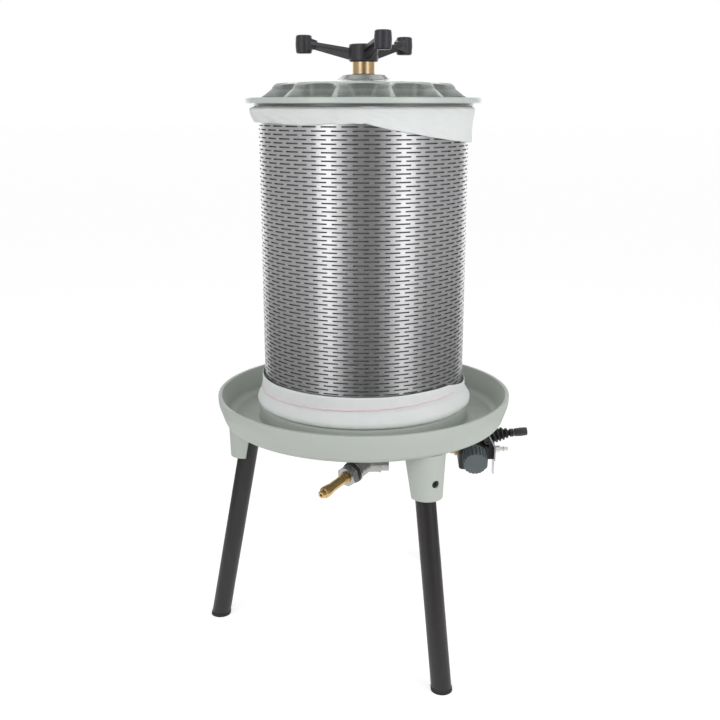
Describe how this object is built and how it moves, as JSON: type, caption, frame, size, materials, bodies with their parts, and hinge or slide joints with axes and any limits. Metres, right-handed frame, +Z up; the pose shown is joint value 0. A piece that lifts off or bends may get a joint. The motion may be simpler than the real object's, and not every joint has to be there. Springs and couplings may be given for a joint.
{
  "type": "pneumatic fruit press",
  "caption": "Free-standing bladder fruit press: slotted basket with press cloth on a tripod tray, domed lid held by a three-armed nut, air regulator and lever valve below.",
  "frame": {"origin": "on the spindle axis at floor level, the middle of the footprint", "axes": "+Z up along the spindle; the front, with the branch valve and the regulator knob, faces -Y; +X towards the lever valve"},
  "size_m": [0.5504, 0.4834, 0.9855],
  "materials": {
    "painted_casting": "satin grey-green enamel on cast aluminium",
    "leg_paint": "black powder coat",
    "black_rubber": "matt",
    "seal_rubber": "satin",
    "steel_screw": "zinc plated",
    "stainless": "rolled, fine grain",
    "cloth": "white woven press cloth",
    "brass": "turned",
    "nickel": "cast, matt nickel",
    "plated": "bright plated",
    "black_plastic": "moulded, fine texture",
    "grey_plastic": "moulded",
    "pipe_plastic": "smooth"
  },
  "bodies": {
    "stand": {"air_inlet": "plated", "air_pipe": "pipe_plastic", "bladder": "black_rubber", "bladder_clamp_lower": "steel_screw", "bladder_clamp_upper": "steel_screw", "bracket": "plated", "bracket_screws": "steel_screw", "branch_nut": "plated", "branch_ring": "plated", "branch_seal": "seal_rubber", "brass_nozzle": "brass", "foot_cap_front": "black_rubber", "foot_cap_left": "black_rubber", "foot_cap_rear": "black_rubber", "hand_valve": "black_plastic", "juice_outlet": "stainless", "leg_front": "leg_paint", "leg_left": "leg_paint", "leg_rear": "leg_paint", "leg_screws": "steel_screw", "lever_boot": "black_rubber", "neck_fitting": "brass", "port_fitting": "brass", "regulator_body": "black_plastic", "regulator_bonnet": "grey_plastic", "regulator_nipple": "nickel", "spindle": "stainless", "spindle_nut": "steel_screw", "spindle_seal": "seal_rubber", "tray": "painted_casting", "valve_body": "nickel", "valve_port_plug": "plated", "valve_stub_plug": "nickel"},
    "basket_set": {"basket": "stainless", "basket_hoop_lower": "stainless", "basket_hoop_upper": "stainless", "cloth_liner": "cloth", "cloth_cuff_lower": "cloth", "cloth_cuff_upper": "cloth"},
    "lid_set": {"lid": "painted_casting", "lid_gasket": "seal_rubber", "lid_bush": "brass"},
    "washer": {"thrust_washer": "steel_screw"},
    "handle_set": {"brass_nut": "brass", "handle": "black_plastic", "handle_pin": "steel_screw"},
    "knob_spindle": {"regulator_hub": "grey_plastic"},
    "knob": {"regulator_knob": "grey_plastic"},
    "lever_set": {"lever": "plated", "lever_knob": "black_plastic"}
  },
  "joints": [
    {"name": "basket_lift", "type": "slide", "parent": "stand", "child": "basket_set", "axis": [0, 0, 1], "range_m": [0, 0.56]},
    {"name": "lid_lift", "type": "slide", "parent": "basket_set", "child": "lid_set", "axis": [0, 0, 1], "range_m": [0, 0.12]},
    {"name": "nut_rise", "type": "slide", "parent": "lid_set", "child": "washer", "axis": [0, 0, 1], "range_m": [0, 0.03]},
    {"name": "handle_turn", "type": "hinge", "parent": "washer", "child": "handle_set", "pos_m": [0, 0, 0.935], "axis": [0, 0, 1], "range_deg": [0, 3600]},
    {"name": "regulator_turn", "type": "hinge", "parent": "stand", "child": "knob_spindle", "pos_m": [0.1861, 0, 0.315], "axis": [0, -0.9659, -0.2588], "range_deg": [-900, 900]},
    {"name": "knob_pull", "type": "slide", "parent": "knob_spindle", "child": "knob", "axis": [0, -0.9659, -0.2588], "range_m": [0, 0.0035]},
    {"name": "lever_throw", "type": "hinge", "parent": "stand", "child": "lever_set", "pos_m": [0.21225, 0, 0.34007], "axis": [0, -1, 0], "range_deg": [0, 44], "deforming": ["lever_boot"]}
  ],
  "couplings": [
    {"joint": "nut_rise", "follows": "handle_turn", "m_per_rad": 0.00047746}
  ]
}
